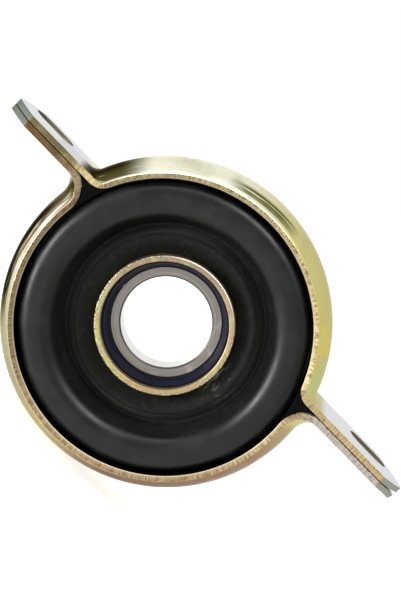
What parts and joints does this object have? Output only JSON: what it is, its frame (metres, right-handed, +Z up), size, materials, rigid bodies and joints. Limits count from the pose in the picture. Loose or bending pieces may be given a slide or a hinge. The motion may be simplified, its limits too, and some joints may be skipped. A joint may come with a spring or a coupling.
{
  "type": "driveshaft centre bearing",
  "caption": "Driveshaft centre support: a sealed ball bearing in a moulded rubber cushion, clamped by a split strap bracket whose slotted ears bolt under a vehicle floor.",
  "frame": {"origin": "centre of the ball bearing, on the shaft's axis", "axes": "+Y along the shaft towards the back of the bearing, +X along the ears towards the long ear, +Z up, out of the ears towards the floor that they bolt to"},
  "size_m": [0.2061, 0.0346, 0.127],
  "materials": {
    "zinc_plate": "yellow passivated zinc plate on pressed steel sheet",
    "cushion_rubber": "moulded, satin black",
    "dust_seal": "moulded, dark navy",
    "race_steel": "ground bearing steel",
    "seal_rubber": "moulded, matt black",
    "cage_steel": "pressed bright steel",
    "ball_steel": "polished"
  },
  "bodies": {
    "housing": {"upper_bracket": "zinc_plate", "lower_bracket": "zinc_plate", "rubber_cushion": "cushion_rubber", "bearing_sleeve": "zinc_plate", "dust_seal": "dust_seal", "outer_race": "race_steel", "front_seal": "seal_rubber", "rear_seal": "seal_rubber"},
    "inner_race": {"inner_race": "race_steel"},
    "cage": {"cage_front": "cage_steel", "cage_rear": "cage_steel", "cage_rivets": "cage_steel"},
    "ball_1": {"ball_1": "ball_steel"},
    "ball_2": {"ball_2": "ball_steel"},
    "ball_3": {"ball_3": "ball_steel"},
    "ball_4": {"ball_4": "ball_steel"},
    "ball_5": {"ball_5": "ball_steel"},
    "ball_6": {"ball_6": "ball_steel"},
    "ball_7": {"ball_7": "ball_steel"},
    "ball_8": {"ball_8": "ball_steel"},
    "ball_9": {"ball_9": "ball_steel"},
    "ball_10": {"ball_10": "ball_steel"},
    "ball_11": {"ball_11": "ball_steel"}
  },
  "joints": [
    {"name": "inner_race_spin", "type": "hinge", "parent": "housing", "child": "inner_race", "pos_m": [0, 0, 0], "axis": [0, 1, 0], "continuous": true},
    {"name": "cage_spin", "type": "hinge", "parent": "housing", "child": "cage", "pos_m": [0, 0, 0], "axis": [0, 1, 0], "continuous": true},
    {"name": "ball_1_roll", "type": "hinge", "parent": "cage", "child": "ball_1", "pos_m": [0.02425, 0, 0], "axis": [0, 1, 0], "continuous": true},
    {"name": "ball_2_roll", "type": "hinge", "parent": "cage", "child": "ball_2", "pos_m": [0.0204, 0, 0.01311], "axis": [0, 1, 0], "continuous": true},
    {"name": "ball_3_roll", "type": "hinge", "parent": "cage", "child": "ball_3", "pos_m": [0.01007, 0, 0.02206], "axis": [0, 1, 0], "continuous": true},
    {"name": "ball_4_roll", "type": "hinge", "parent": "cage", "child": "ball_4", "pos_m": [-0.00345, 0, 0.024], "axis": [0, 1, 0], "continuous": true},
    {"name": "ball_5_roll", "type": "hinge", "parent": "cage", "child": "ball_5", "pos_m": [-0.01588, 0, 0.01833], "axis": [0, 1, 0], "continuous": true},
    {"name": "ball_6_roll", "type": "hinge", "parent": "cage", "child": "ball_6", "pos_m": [-0.02327, 0, 0.00683], "axis": [0, 1, 0], "continuous": true},
    {"name": "ball_7_roll", "type": "hinge", "parent": "cage", "child": "ball_7", "pos_m": [-0.02327, 0, -0.00683], "axis": [0, 1, 0], "continuous": true},
    {"name": "ball_8_roll", "type": "hinge", "parent": "cage", "child": "ball_8", "pos_m": [-0.01588, 0, -0.01833], "axis": [0, 1, 0], "continuous": true},
    {"name": "ball_9_roll", "type": "hinge", "parent": "cage", "child": "ball_9", "pos_m": [-0.00345, 0, -0.024], "axis": [0, 1, 0], "continuous": true},
    {"name": "ball_10_roll", "type": "hinge", "parent": "cage", "child": "ball_10", "pos_m": [0.01007, 0, -0.02206], "axis": [0, 1, 0], "continuous": true},
    {"name": "ball_11_roll", "type": "hinge", "parent": "cage", "child": "ball_11", "pos_m": [0.0204, 0, -0.01311], "axis": [0, 1, 0], "continuous": true}
  ],
  "couplings": [
    {"joint": "cage_spin", "follows": "inner_race_spin", "ratio": 0.41817},
    {"joint": "ball_1_roll", "follows": "inner_race_spin", "ratio": -2.9731},
    {"joint": "ball_2_roll", "follows": "inner_race_spin", "ratio": -2.9731},
    {"joint": "ball_3_roll", "follows": "inner_race_spin", "ratio": -2.9731},
    {"joint": "ball_4_roll", "follows": "inner_race_spin", "ratio": -2.9731},
    {"joint": "ball_5_roll", "follows": "inner_race_spin", "ratio": -2.9731},
    {"joint": "ball_6_roll", "follows": "inner_race_spin", "ratio": -2.9731},
    {"joint": "ball_7_roll", "follows": "inner_race_spin", "ratio": -2.9731},
    {"joint": "ball_8_roll", "follows": "inner_race_spin", "ratio": -2.9731},
    {"joint": "ball_9_roll", "follows": "inner_race_spin", "ratio": -2.9731},
    {"joint": "ball_10_roll", "follows": "inner_race_spin", "ratio": -2.9731},
    {"joint": "ball_11_roll", "follows": "inner_race_spin", "ratio": -2.9731}
  ]
}
